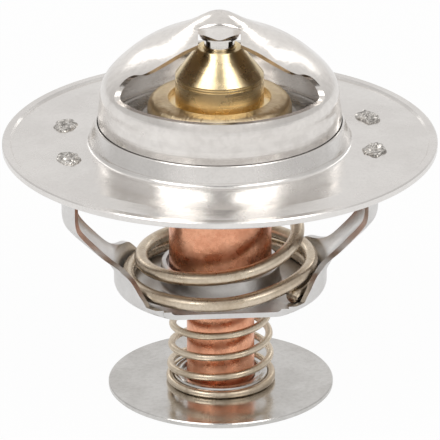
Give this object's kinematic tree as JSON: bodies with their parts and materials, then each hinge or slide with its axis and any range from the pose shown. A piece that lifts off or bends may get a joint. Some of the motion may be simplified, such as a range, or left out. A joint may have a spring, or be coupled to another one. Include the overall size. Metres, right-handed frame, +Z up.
{
  "type": "engine thermostat",
  "caption": "Wax engine thermostat with wide flange, bridge dome, brass guide, copper wax cup, main spring in a stirrup frame and a sprung bypass disc.",
  "frame": {"origin": "middle of the bypass disc's underside, where the part stands", "axes": "+Z up along the pin, from the bypass disc to the dome; +X towards the right-hand leg of the dome; the dome's windows face -Y and +Y"},
  "size_m": [0.067, 0.067, 0.0619],
  "materials": {
    "stainless_pressed": "bright drawn stainless sheet",
    "stainless_frame": "satin stainless sheet",
    "stainless_disc": "satin stainless sheet",
    "pin_steel": "polished steel",
    "spring_steel": "drawn wire, faintly brown",
    "turned_brass": "turned brass",
    "pressed_brass": "pressed brass",
    "copper": "drawn copper, mottled",
    "black_rubber": "moulded",
    "white_plastic": "plain",
    "wax": "wax filled with copper powder"
  },
  "bodies": {
    "frame": {"flange": "stainless_pressed", "bridge_dome": "stainless_pressed", "lower_frame": "stainless_frame", "main_spring": "spring_steel", "piston_pin": "pin_steel"},
    "element": {"guide_cone": "turned_brass", "sleeve_washer": "white_plastic", "rubber_sleeve": "black_rubber", "crimp_ring": "pressed_brass", "valve_plate": "stainless_frame", "wax_cup": "copper", "wax_charge": "wax", "retaining_ring": "spring_steel", "bypass_spring": "spring_steel"},
    "bypass": {"bypass_disc": "stainless_disc"}
  },
  "joints": [
    {"name": "valve_slide", "type": "slide", "parent": "frame", "child": "element", "axis": [0, 0, -1], "range_m": [0, 0.008], "stiffness_N_per_m": 4400, "springref_m": -0.012, "deforming": ["main_spring"]},
    {"name": "bypass_slide", "type": "slide", "parent": "element", "child": "bypass", "axis": [0, 0, 1], "range_m": [0, 0.006], "stiffness_N_per_m": 1100, "springref_m": -0.008, "deforming": ["bypass_spring"]}
  ]
}
